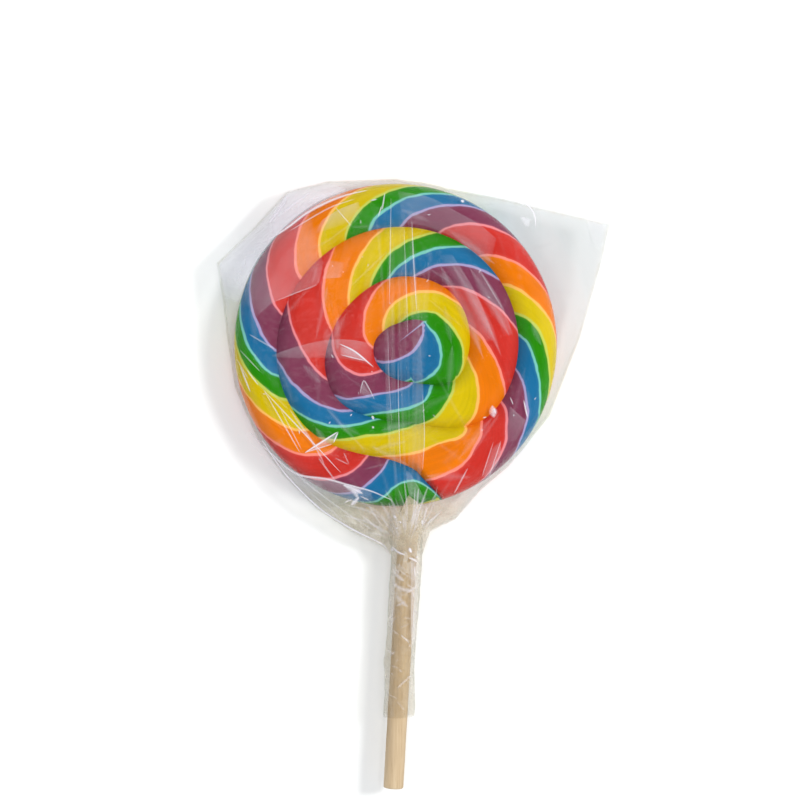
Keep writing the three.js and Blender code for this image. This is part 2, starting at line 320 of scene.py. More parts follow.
class Shading:
    """The node tree of a material, or of the world, with short ways to add and join nodes."""

    def __init__(self, owner, output="OutputMaterial"):
        self.owner, self.output = owner, output
        owner.use_nodes = True
        owner.node_tree.nodes.clear()

    def node(self, kind, inputs=None, **settings):
        node = self.owner.node_tree.nodes.new("ShaderNode" + kind)
        for key, value in settings.items():
            setattr(node, key, value)
        for key, value in (inputs or {}).items():
            if isinstance(value, bpy.types.NodeSocket):
                self.owner.node_tree.links.new(value, node.inputs[key])
            else:
                node.inputs[key].default_value = value
        return node

    def add(self, kind, inputs=None, out=0, **settings):
        """A new node's output."""
        return self.node(kind, inputs, **settings).outputs[out]

    def value(self, name):
        """A number that the mesh keeps at its points."""
        return self.add("Attribute", out="Fac", attribute_name=name)

    def math(self, operation, *values):
        return self.add("Math", dict(enumerate(values)), operation=operation)

    def times(self, a, b):
        return self.math("MULTIPLY", a, b)

    def plus(self, total, *more):
        for value in more:
            total = self.math("ADD", total, value)
        return total

    def noise(self, vector, scale, detail=2.0, roughness=0.5, out="Fac"):
        """Smooth noise from 0 to 1, or in colour; scale is its bumps in a metre."""
        inputs = {"Vector": vector, "Scale": scale, "Detail": detail, "Roughness": roughness}
        return self.add("TexNoise", inputs, out)

    def between(self, value, low, high, to_low=0.0, to_high=1.0, smooth=False):
        """A value from low to high, turned into one from to_low to to_high."""
        inputs = {"Value": value, "From Min": low, "From Max": high, "To Min": to_low, "To Max": to_high}
        return self.add("MapRange", inputs, interpolation_type="SMOOTHSTEP" if smooth else "LINEAR")

    def blend(self, share, a, b, kind="MIX"):
        """Two colours mixed; 6, 7 and 2 are the node's sockets for colours."""
        a, b = ((*colour, 1.0) if isinstance(colour, tuple) else colour for colour in (a, b))
        return self.add("Mix", {"Factor": share, 6: a, 7: b}, 2, data_type="RGBA", blend_type=kind)

    def layers(self, share, under, over):
        """Two shaders mixed."""
        return self.add("MixShader", {0: share, 1: under, 2: over})

    def ramp(self, value, stops, kind):
        """A colour ramp; a stop is (place, colour or grey)."""
        node = self.node("ValToRGB", {"Fac": value})
        node.color_ramp.interpolation = kind
        elements = node.color_ramp.elements
        while len(elements) < len(stops):
            elements.new(0.5)
        for element, (place, _) in zip(elements, stops):
            element.position = place
        for element, (_, colour) in zip(elements, stops):
            element.color = (*(colour if isinstance(colour, tuple) else [colour] * 3), 1.0)
        return node.outputs["Color"]

    def finish(self, shader):
        self.node(self.output, {"Surface": shader})
        return self.owner


def new_material(name):
    return Shading(bpy.data.materials.new(name))


LINE_COLOURS = {
    "orange": (1.0, 0.52, 0.12), "red": (1.0, 0.28, 0.21), "purple": (0.84, 0.25, 0.28),
    "blue": (0.40, 0.34, 0.58), "green": (0.20, 0.58, 0.50), "yellow": (0.56, 0.63, 0.10),
}
LINE_HALF_WIDTH = 0.30  # millimetres
LINE_SOFTNESS = 0.13
WAVER = 0.012  # how far a stripe's edge strays, in cycles
GROOVE_SHADE = (0.38, 0.34, 0.36)


def sugar_material():
    """Pulled sugar: six colours with thin pale lines between them, glossy, finely streaked along the rope,
    with painted shade in its grooves.
    """
    s = new_material("pulled_sugar")
    rope = s.node("SeparateXYZ", {"Vector": s.add("UVMap", uv_map="rope")}).outputs
    pull = s.add("UVMap", uv_map="pull")
    place = s.add("TexCoord", out="Object")
    phase, steepness = rope["X"], rope["Y"]

    # The stripes' edges waver a little.
    waver = s.between(s.noise(place, 260.0, 3.0), 0.0, 1.0, -WAVER, WAVER)
    cycle = s.math("FRACT", s.plus(phase, waver))
    stripe = s.ramp(cycle, [(start, colour) for _, start, colour in STRIPES], "CONSTANT")

    # Distance to the nearest line, in cycles and then in millimetres.
    ends = STRIPE_STARTS + [1.0]
    middles = [(a + b) / 2 for a, b in zip(ends, ends[1:])]
    halves = [(b - a) / 2 for a, b in zip(ends, ends[1:])]
    stops = [(ends[0], 0.0)]
    for middle, half, end in zip(middles, halves, ends[1:]):
        stops += [(middle, half), (end, 0.0)]
    to_line = s.math("DIVIDE", s.ramp(cycle, stops, "LINEAR"), steepness)
    width = s.between(s.noise(place, 190.0), 0.3, 0.7, 0.75 * LINE_HALF_WIDTH, 1.25 * LINE_HALF_WIDTH)
    past_line = s.math("SUBTRACT", to_line, width)
    on_line = s.between(past_line, -LINE_SOFTNESS, LINE_SOFTNESS, 1.0, 0.0, smooth=True)
    names = [name for name, _, _ in STRIPES]
    tints = [(0.0, LINE_COLOURS[names[0]])]
    tints += [(m, LINE_COLOURS[n]) for m, n in zip(middles, names[1:] + names[:1])]
    line = s.ramp(cycle, tints, "CONSTANT")

    # Streaks run with the stripes, as the sugar was pulled; the colour bleeds from the lines a little.
    streaks = s.noise(pull, 1.0, 4.0, 0.6)
    cloud = s.noise(place, 120.0, 3.0)
    shade = s.plus(s.between(streaks, 0.3, 0.7, -0.07, 0.07), s.between(cloud, 0.3, 0.7, -0.06, 0.06), 0.97)
    grey = s.add("CombineColor", {"Red": shade, "Green": shade, "Blue": shade})
    toned = s.blend(1.0, stripe, grey, "MULTIPLY")
    bleed = s.between(past_line, 0.0, 0.8, 0.06, 0.0, smooth=True)
    base = s.blend(on_line, s.blend(bleed, toned, line), line)

    # Painted shade: sugar in the grooves is darkened, as shade falls there.
    deep = s.between(s.value("groove"), 0.5, 1.0, 0.0, 0.12, smooth=True)
    base = s.blend(deep, base, s.blend(1.0, base, GROOVE_SHADE, "MULTIPLY"))

    relief = s.plus(s.times(streaks, 0.6), s.times(s.noise(place, 700.0), 0.3))
    return s.finish(s.add("BsdfPrincipled", {
        "Base Color": base, "Roughness": s.between(s.noise(place, 400.0), 0.3, 0.7, 0.16, 0.30),
        "IOR": 1.5, "Specular IOR Level": 0.16,
        "Normal": s.add("Bump", {"Height": relief, "Strength": 0.35, "Distance": 0.00012})}))


WOOD_TONES = [(0.25, (0.44, 0.31, 0.18)), (0.5, (0.56, 0.42, 0.26)), (0.75, (0.66, 0.52, 0.34))]
WOOD_BLOTCH = (0.50, 0.37, 0.23)
WOOD_PORE = (0.30, 0.20, 0.11)
GRAIN_STRETCH = 0.035  # how narrow the grain is for its length


def wood_material():
    """Plain pale wood: fine grain along the stick, with darker pores and a few wider bands."""
    s = new_material("pale_wood")
    place = s.add("TexCoord", out="Object")
    turned = s.add("Mapping", {
        "Vector": place, "Rotation": (0.0, 0.0, STICK_LEAN), "Scale": (1.0, GRAIN_STRETCH, 1.0)})
    bands = s.noise(turned, 900.0, 3.0, 0.6)
    fibres = s.noise(turned, 4200.0, 3.0, 0.7)
    blotches = s.between(s.noise(place, 90.0), 0.35, 0.7, 0.0, 0.45)
    pores = s.between(fibres, 0.55, 0.75, 0.0, 0.6, smooth=True)
    colour = s.blend(pores, s.blend(blotches, s.ramp(bands, WOOD_TONES, "LINEAR"), WOOD_BLOTCH), WOOD_PORE)
    return s.finish(s.add("BsdfPrincipled", {
        "Base Color": colour, "Roughness": s.between(fibres, 0.3, 0.7, 0.5, 0.75),
        "Normal": s.add("Bump", {"Height": s.plus(bands, fibres), "Strength": 0.5, "Distance": 0.0001})}))


LIGHTENED_FILM_TINT = (0.981, 0.985, 0.986)  # the film where painted light lightens it most
DARKENED_FILM_TINT = (0.946, 0.953, 0.954)
GATHERED_TINT = (0.944, 0.933, 0.908)
EDGE_TINT = (0.62, 0.65, 0.60)  # film seen edge-on
FILM_MIRROR = 0.012  # share of light that one face mirrors when seen straight on
EDGE_MIRROR = 0.45  # and when seen edge-on
# The diffuse white of milky film and of painted sheen: on the film, where it's gathered, on the folds, and on
# the warm folds at the neck and tail.
FILM_MILK_AND_SHEEN, GATHERED_MILK_AND_SHEEN = (0.93, 0.93, 0.94), (0.90, 0.86, 0.79)
FOLD_MILK_AND_SHEEN, WARM_FOLD_MILK_AND_SHEEN = (0.95, 0.93, 1.0), (0.66, 0.57, 0.42)
WHITE = (1.0, 1.0, 1.0, 1.0)
CRUMPLE_WARP = 0.003  # metres
CRUMPLE_SCALE = 760.0  # facets in a metre
CRUMPLE_STRETCH = 0.62


def film_material():
    """Clear packing film: see-through, glossy, faintly milky with painted sheen along its creases and where
    it is gathered.
    """
    s = new_material("clear_film")
    place = s.add("TexCoord", out="Object")
    gather = s.value("gather")
    crinkle = s.noise(place, 420.0, 3.0, 0.55)
    bump = s.add("Bump", {"Height": crinkle, "Strength": 0.25, "Distance": 0.0004})
    grazing = s.math("POWER", s.add("LayerWeight", {"Blend": 0.5, "Normal": bump}, "Facing"), 4.0)
    # Painted light and shade: the film's tint is lighter on the left flaps and darker on the right ones.
    tint = s.blend(s.value("painted_flap_shade"), LIGHTENED_FILM_TINT, DARKENED_FILM_TINT)
    tint = s.blend(s.between(gather, 0.0, 0.6), tint, GATHERED_TINT)
    tint = s.blend(s.times(grazing, s.between(gather, 0.0, 1.0, 0.3, 0.8)), tint, EDGE_TINT)
    clear = s.add("BsdfTransparent", {"Color": tint})
    gloss = s.add("BsdfAnisotropic", {"Color": WHITE, "Roughness": 0.09, "Normal": bump})
    skin = s.layers(s.between(grazing, 0.0, 1.0, FILM_MIRROR, EDGE_MIRROR), clear, gloss)

    # Where the film is gathered it is crumpled into small facets with sharp edges, some of them bright with
    # painted glints and milkiness.
    bent = s.noise(place, 160.0, out="Color")
    bent = s.add("VectorMath", {0: bent, "Scale": CRUMPLE_WARP}, operation="SCALE")
    spot = s.add("VectorMath", {0: place, 1: bent}, operation="ADD")
    spot = s.add("Mapping", {"Vector": spot, "Scale": (1.0, CRUMPLE_STRETCH, 1.0)})
    cells = {"Vector": spot, "Scale": CRUMPLE_SCALE}
    facet = s.math("POWER", s.add("SeparateColor", {"Color": s.add("TexVoronoi", cells, "Color")}), 5.0)
    rim = s.add("TexVoronoi", cells, "Distance", feature="DISTANCE_TO_EDGE")
    crumple = s.plus(s.times(facet, 0.22), s.between(rim, 0.0, 0.12, 0.12, 0.0), 0.03)

    # Painted sheen and milkiness along the creases, painted glints on the crumpled facets, and random milky
    # patches.
    patches = s.between(s.noise(place, 60.0, 3.0), 0.45, 0.7, 0.0, 0.003)
    crumpled = s.times(s.times(gather, gather), crumple)
    amount = s.plus(s.times(s.value("crease"), 0.035), s.plus(patches, crumpled))
    milk_and_sheen = s.add("BsdfDiffuse", {"Color": s.blend(gather, FILM_MILK_AND_SHEEN, GATHERED_MILK_AND_SHEEN)})
    return s.finish(s.layers(amount, skin, milk_and_sheen))


def fold_sheen_material():
    """Painted sheen and glints on the film, with the milkiness of sharply creased film: a diffuse white of
    varying strength, with a little gloss.
    """
    s = new_material("film_fold_sheen")
    place = s.add("TexCoord", out="Object")
    warm = s.value("warm")
    fine = s.between(s.noise(place, 600.0, 4.0, 0.6), 0.3, 0.7, -0.25, 0.25)
    broad = s.between(s.noise(place, 90.0, 3.0), 0.3, 0.7, -0.12, 0.12)
    mottle = s.plus(s.times(fine, s.between(warm, 0.0, 1.0, 0.2, 1.0)), broad, 0.5)
    sheen = s.add("BsdfDiffuse", {"Color": s.blend(warm, FOLD_MILK_AND_SHEEN, WARM_FOLD_MILK_AND_SHEEN)})
    gloss = s.add("BsdfAnisotropic", {"Color": WHITE, "Roughness": 0.25})
    clear = s.add("BsdfTransparent", {"Color": WHITE})
    return s.finish(s.layers(s.times(s.value("milk_and_sheen"), mottle), clear, s.layers(0.12, sheen, gloss)))


# ---- Candy

groove_curve = curve_through(GROOVE)
width_curve = curve_through(STRIPE_WIDTHS)
edge_phase = curve_through(FIRST_TURN_EDGE)
first_turn_lines = [(phase, keys[0][0], curve_through(keys)) for phase, keys in FIRST_TURN_LINES]
stripe_curve = curve_through(
    [FIRST_PHASE]
    + [(turn, cycle + start) for cycle, turns in enumerate(STRIPE_TURNS)
       for turn, start in zip(turns, STRIPE_STARTS)]
    + [LAST_PHASE]
)


def outer_edge(turn):
    """The rope's outer edge: the groove, then the rim."""
    return np.where(turn < RIM_TURN, groove_curve(turn), CANDY_RADIUS)


def inner_edge(turn):
    """The rope's inner edge: the groove one turn before, and in the first turn a closed curve."""
    first_turn = (turn - GROOVE_START) / TURN
    closing = groove_curve(GROOVE_START) / groove_curve(GROOVE_START + TURN)
    closed = outer_edge(turn) * mix(1, closing, first_turn)
    return np.where(turn >= GROOVE_START + TURN, outer_edge(turn - TURN), closed)


def groove_cut(distance, turn):
    deepened = smoothstep(turn, GROOVE_START, GROOVE_START + GROOVE_FADE)
    cut = GROOVE_DEPTH * deepened * (1 - np.clip(distance / GROOVE_REACH, 0, 1)) ** 2
    return np.where((turn < GROOVE_START) | (turn >= RIM_TURN), 0, cut)


def candy_form(turn, radius):
    """Half the candy's thickness, and how deep in a groove each point lies, 0 to 1."""
    rim = shoulder(1 - (CANDY_RADIUS - radius) / RIM_ROUNDING, ROUNDNESS)
    cut = groove_cut(outer_edge(turn) - radius, turn) + groove_cut(radius - inner_edge(turn), turn - TURN)
    lumps = LUMP * (uneven(*polar(radius, np.radians(turn)), LUMP_SIZE, SEED["lumps"]) - 1) / 2
    return rim * (HALF_THICKNESS - cut + lumps), cut / GROOVE_DEPTH


def first_turn_phase(turn, radius):
    """The stripes' phase in the rope's first turn, between the lines that run through it."""
    edge = outer_edge(turn)
    phase = np.full(np.broadcast(turn, radius).shape, CENTRE_PHASE)
    near, near_phase = np.zeros_like(edge), np.full_like(edge, CENTRE_PHASE)
    lines = [(np.where(turn > start, curve(turn), edge), value) for value, start, curve in first_turn_lines]
    for reach, value in [*lines, (edge, None)]:
        reach = np.minimum(reach, edge)
        at_edge = reach >= edge
        far_phase = np.where(at_edge, edge_phase(turn), value if value is not None else 0)
        share = np.clip((radius - near) / np.maximum(reach - near, 1e-6), 0, 1)
        phase = np.where(radius >= near, mix(near_phase, far_phase, share), phase)
        near, near_phase = reach, far_phase
    return phase


def stripe_phase(turn, radius, half, face):
    """Which point of the stripes' cycle shows, on the top (face 1) or the underside (face -1)."""
    inner = inner_edge(turn)
    swelling = (turn >= STRIPE_WIDTHS[0][0]) & (turn <= STRIPE_WIDTHS[-1][0])
    width = np.where(swelling, width_curve(turn), outer_edge(turn) - inner)
    across = (radius - inner) / np.maximum(width, 1e-3) - 0.5
    eased = smoothstep(turn, *TAIL_EASING)
    near_rim = np.clip(1 - half / HALF_THICKNESS, 0, 1) * (turn > RIM_TURN)
    shift = mix(SLANT, TAIL_SLANT, eased) * across + RIM_SHIFT * (1 - eased) * near_rim
    for place, side, bend, reach, spread in STRIPE_BENDS:
        shift = shift + bend * np.exp(-(((turn - place) / reach) ** 2) - ((across - side) / spread) ** 2)
    middle = stripe_curve(turn)
    first = turn < FIRST_PHASE[0]
    if face > 0:
        return np.where(first, first_turn_phase(turn, radius), middle + shift)
    turned_over = 2 * FIRST_PHASE[1] + 0.5 - first_turn_phase(turn, radius)
    return np.where(first, turned_over, middle + 0.5 - shift)


def steepness(points, phase):
    """How fast the phase changes over the surface, in cycles a millimetre."""
    down, over = np.gradient(points, axis=0), np.gradient(points, axis=1)
    phase_down, phase_over = np.gradient(phase, axis=0), np.gradient(phase, axis=1)
    dd, oo, do = (down * down).sum(-1), (over * over).sum(-1), (down * over).sum(-1)
    area = np.maximum(dd * oo - do * do, 1e-9)
    squared = (phase_down**2 * oo - 2 * phase_down * phase_over * do + phase_over**2 * dd) / area
    return np.clip(np.sqrt(np.maximum(squared, 0)), *STEEPNESS_RANGE)


def candy_sheet(turn, radius, face):
    half, depth = candy_form(turn, radius)
    points = np.stack([*polar(radius, np.radians(turn)), MID_HEIGHT + face * half], axis=-1)
    phase = stripe_phase(turn, radius, half, face)
    rope = np.stack([phase, steepness(points, phase)], axis=-1)
    pull = np.stack([phase * PULL_ACROSS, np.radians(turn) * PULL_ALONG], axis=-1)
    return points, face < 0, {"rope": rope, "pull": pull, "groove": np.clip(depth, 0, 1)}


def make_candy():
    stations = round((ROPE_END - GROOVE_START) / STATION_ANGLE)
    turn = GROOVE_START + STATION_ANGLE * np.arange(stations + 1)[:, None]
    across = (1 - np.cos(np.pi * np.arange(ROPE_STRIPS + 1) / ROPE_STRIPS)) / 2
    rope_radius = mix(inner_edge(turn), outer_edge(turn), across)
    rope_turn = np.broadcast_to(turn, rope_radius.shape)
    core_turn = turn[: round(TURN / STATION_ANGLE) + 1]
    core_radius = inner_edge(core_turn) * np.arange(CORE_STRIPS + 1) / CORE_STRIPS
    core_turn = np.broadcast_to(core_turn, core_radius.shape)
    sheets = [candy_sheet(rope_turn, rope_radius, face) for face in (1, -1)]
    sheets += [candy_sheet(core_turn, core_radius, face) for face in (1, -1)]
    candy = make_piece("candy_swirl", sheets)
    cut_socket(candy)
    candy.data.materials.append(sugar_material())
    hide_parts("candy")
    return candy


def dowel_sheet(radius, free_end, far_end, relief=0.0):
    """A round bar along the stick's axis, with rounded edges at its ends."""
    bend = np.linspace(0, np.pi / 2, DOWEL_END_LEVELS)
    ends, inset = STICK_ROUNDING * (1 - np.cos(bend)), STICK_ROUNDING * (1 - np.sin(bend))
    body = np.arange(free_end + 1.0, far_end - 0.9, DOWEL_STEP)
    along = np.concatenate([[free_end], free_end + ends, body, far_end - ends[::-1], [far_end]])
    size = np.concatenate([[0], radius - inset, np.full(len(body), radius), radius - inset[::-1], [0]])
    angle = np.linspace(0, 2 * np.pi, STICK_SIDES + 1)
    x, z = polar(size[:, None], angle)
    if relief:
        spread = polar(radius * GRAIN_FINENESS, angle, 0, along[:, None] / 2)
        grain = uneven(*spread, GRAIN_SIZE, SEED["grain"])
        scale = 1 + relief * (grain - 1) / 2 / radius
        x, z = x * scale, z * scale
    return along_stick(x, along[:, None], z)


def cut_socket(candy):
    """A blind hole in the rim for the stick, cut from the candy."""
    wall = dowel_sheet(STICK_RADIUS + SOCKET_GAP, -STICK_EMBEDDED / 2, STICK_EMBEDDED + SOCKET_GAP)
    # The socket's wall gets the grooves' full painted shade.
    data = {"rope": np.full((1, 1, 2), SOCKET_PHASE), "pull": np.zeros((1, 1, 2)), "groove": np.ones((1, 1))}
    cutter = make_piece("socket_cutter", [(wall, True, data)])
    boolean = candy.modifiers.new("socket", "BOOLEAN")
    boolean.operation = "DIFFERENCE"
    boolean.object = cutter
    boolean.solver = "MANIFOLD"
    graph = bpy.context.evaluated_depsgraph_get()
    cut = bpy.data.meshes.new_from_object(candy.evaluated_get(graph), depsgraph=graph)
    candy.modifiers.remove(boolean)
    old, candy.data = candy.data, cut
    bpy.data.meshes.remove(old)
    bpy.data.meshes.remove(cutter.data)
    candy.data.name = candy.name
    candy.data.materials.clear()


# ---- Stick

def make_stick():
    wall = dowel_sheet(STICK_RADIUS, -STICK_VISIBLE, STICK_EMBEDDED, WOOD_RELIEF)
    stick = make_piece("stick_dowel", [(wall, True, {})])
    stick.data.materials.append(wood_material())
    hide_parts("stick")
    return stick


# ---- Film bag

# Relief of the film itself: streaks over the middle, pleats from the neck, creases anywhere.
STREAK_COUNT = 9
STREAK_TOP = 38.0
STREAK_SPREAD = (-5.5, 10.5)  # the x between which they end at the top
STREAK_FOOT = 2.6  # how far from the neck's middle they start
PLEAT_COUNT = 22
PLEAT_FAN = (8, 172)  # degrees
CREASE_COUNT = 50
CREASE_FIELD = 50
RIDGE = 0.45  # half the width of a fold's ridge of milkiness and painted sheen
PUFF = 0.06
PUFF_SIZE = 16.0
PUFF_LIMIT = 0.3
UNDERSIDE_PUFF = 0.4  # of the upper side's
WAVE_SIZE = 17.0
FLAP_ROUNDNESS = 1.25  # of the pocket where a flap is wide
TAIL_SETTLING = (0.5, 6)  # the folds grow between these distances from the tail's ring
MAIN_FOLDS, MAIN_TWIST, MAIN_DEPTH = 3, 0.075, 0.5  # round the tail: number, radians a millimetre, depth
MINOR_FOLDS, MINOR_TWIST, MINOR_DEPTH = 5, -0.11, 0.28
TAIL_CRUMPLE = 0.06
TAIL_CRUMPLE_SIZE = 3.2
GATHER_REACH = (5, 44)  # from the neck: the film is gathered up to the first, and not past the second
EDGE_GATHER = 0.4
TAIL_GATHER = (0.9, 0.45)  # at the tail's top, and further down

# Loose folds of painted sheen and whitened film that lie on the film: how many, and where the fan of the
# funnel's creases lies, in degrees.
FAINT_SHEEN_CREASES = 52
FUNNEL_CREASES = 34
FUNNEL_FAN = (44, 153)
SPARKLES = 26
LOOSE_TAIL_CREASES = 44
FOLD_GAP = 0.03  # how far a facet lies over the film, how far a crease line does, and how thick both are
LINE_GAP = 0.14
FOLD_THICKNESS = 0.04
LINE_PROFILE = np.array([-1.2, -0.5, 0, 0.5, 1.2])  # across a crease line, in half widths
LINE_MILK_AND_SHEEN = (0, 0.8, 1.4, 0.8, 0)

# Facets of painted reflection on the film, somewhat milky: one line, the line on its other side, and the
# milkiness and sheen at each.
VEILS = [
    ([(-34.1, 6.7), (-29.9, 10.4), (-23.7, 12.9), (-19.2, 14.6), (-17.7, 20.1)],
     [(-37.3, 10.7), (-35.6, 18.1), (-31.1, 25.0), (-26.2, 28.8), (-21.2, 32.5)], (0.10, 0.08)),
    ([(-18.0, 16.1), (-13.3, 16.4)], [(-16.7, 20.6), (-12.3, 20.1)], (0.12, 0.07)),
    ([(-30.5, -2.7), (-24.5, -0.6), (-17.5, 1.0), (-11.3, 1.2), (-5.8, 0.2)],
     [(-30.0, -3.0), (-24.5, -3.4), (-17.5, -3.2), (-11.3, -3.7), (-5.8, -5.2)], (0.13, 0.05)),
    ([(-13.5, -0.5), (-10.0, -1.7), (-5.3, -5.5)],
     [(-13.5, -2.5), (-10.5, -3.4), (-7.3, -4.0)], (0.28, 0.12)),
    ([(0.6, 37.7), (8.6, 36.0), (14.8, 32.7), (20.5, 29.5), (24.7, 26.0)],
     [(1.6, 29.8), (7.3, 29.0), (13.5, 26.5), (18.5, 23.1), (22.9, 19.1)], (0.10, 0.06)),
    ([(4.0, 30.2), (5.2, 16.0), (6.1, 2.0), (6.9, -13.6), (7.1, -23.6), (5.9, -34.5)],
     [(2.9, 30.0), (3.4, 16.0), (4.1, 2.0), (4.4, -13.6), (4.8, -23.6), (4.4, -34.5)], (0.06, 0.02)),
    ([(2.2, 36.8), (2.4, 21.1), (2.6, 3.7), (2.7, -13.6), (3.0, -26.0)],
     [(-0.9, 36.8), (-0.6, 21.1), (0.4, 3.7), (0.9, -13.6), (1.6, -26.0)], (0.04, 0.01)),
    ([(-1.9, 21.0), (-2.4, 3.7), (-2.4, -13.6), (-1.5, -27.0)],
     [(-0.9, 21.0), (-0.7, 3.7), (-0.9, -13.6), (-0.5, -27.0)], (0.05, 0.01)),
    # Painted light: a bright milky sheen over the left flap, where the candy's shadow falls.
    ([(-12.0, 38.2), (-19.4, 34.9), (-26.1, 30.0), (-31.9, 23.8), (-35.4, 18.3), (-38.5, 10.3)],
     [(-16.5, 40.2), (-21.5, 39.2), (-27.0, 37.4), (-34.4, 29.2), (-43.2, 20.2), (-42.4, 12.0)],
     (0.66, 0.34)),
    ([(-27.3, 37.6), (-29.0, 33.8), (-30.9, 30.0)],
     [(-22.5, 38.0), (-25.0, 34.6), (-30.2, 29.4)], (0.45, 0.15)),
    ([(-22.2, -26.5), (-14.0, -21.3)], [(-19.0, -25.5), (-15.3, -24.3)], (0.30, 0.08)),
    ([(-8.8, -12.2), (-7.8, -8.9)], [(-7.0, -13.0), (-5.1, -13.6)], (0.16, 0.05)),
    ([(-36.3, -21.3), (-30.6, -26.8), (-24.4, -31.7), (-16.7, -33.0), (-11.3, -34.5), (-5.8, -36.0)],
     [(-37.6, -22.2), (-32.0, -28.6), (-25.6, -34.2), (-18.0, -37.0), (-11.6, -38.6), (-6.0, -39.6)],
     (0.22, 0.08)),
    ([(-34.3, 24.6), (-26.4, 28.8), (-21.9, 32.2), (-17.2, 34.7), (-12.0, 36.7)],
     [(-35.0, 26.0), (-28.2, 31.4), (-23.2, 34.5), (-18.0, 37.0), (-12.4, 38.9)], (0.24, 0.10)),
    ([(30.6, 31.7), (33.4, 31.0)], [(31.6, 29.6), (32.9, 28.8)], (0.55, 0.3)),
    ([(47.0, 31.2), (52.0, 29.4)], [(48.5, 25.0), (50.6, 23.5)], (0.22, 0.04)),
    ([(28.0, -15.1), (32.2, -18.9)], [(27.0, -24.0), (29.6, -23.6)], (0.11, 0.03)),
    ([(25.9, -23.6), (25.4, -28.5), (22.9, -32.7)],
     [(23.4, -25.5), (21.9, -29.8), (21.2, -32.5)], (0.16, 0.05)),
    ([(2.6, -31.0), (2.8, -34.2), (3.4, -37.2)], [(3.4, -31.2), (5.8, -35.2), (7.6, -38.8)], (0.14, 0.10)),
    ([(10.5, 22.0), (16.0, 12.0), (20.0, 1.0)], [(14.0, 22.0), (20.0, 12.0), (24.5, 1.0)], (0.02, 0.14)),
    ([(17.5, 20.0), (23.0, 11.0), (26.5, 2.0)], [(20.0, 19.5), (25.5, 11.0), (28.8, 2.5)], (0.02, 0.12)),
    ([(-18.0, 30.5), (-14.0, 33.0), (-9.0, 35.0)],
     [(-20.0, 27.0), (-14.0, 29.0), (-8.5, 31.0)], (0.20, 0.03)),
]

# The same at the neck, where the film is bunched over the stick and beige with it: milky film with painted
# sheen.
NECK_VEILS = [
    ([(3.1, -37.0), (2.0, -39.4), (0.2, -44.0), (-0.5, -50.8)],
     [(3.3, -37.0), (5.9, -39.4), (6.6, -44.0), (6.0, -50.8)], (0.8, 0.7)),
    ([(-7.6, -39.9), (-4.0, -44.0), (-1.2, -49.6)],
     [(1.6, -39.4), (0.4, -44.0), (-0.4, -49.8)], (0.25, 0.75)),
]
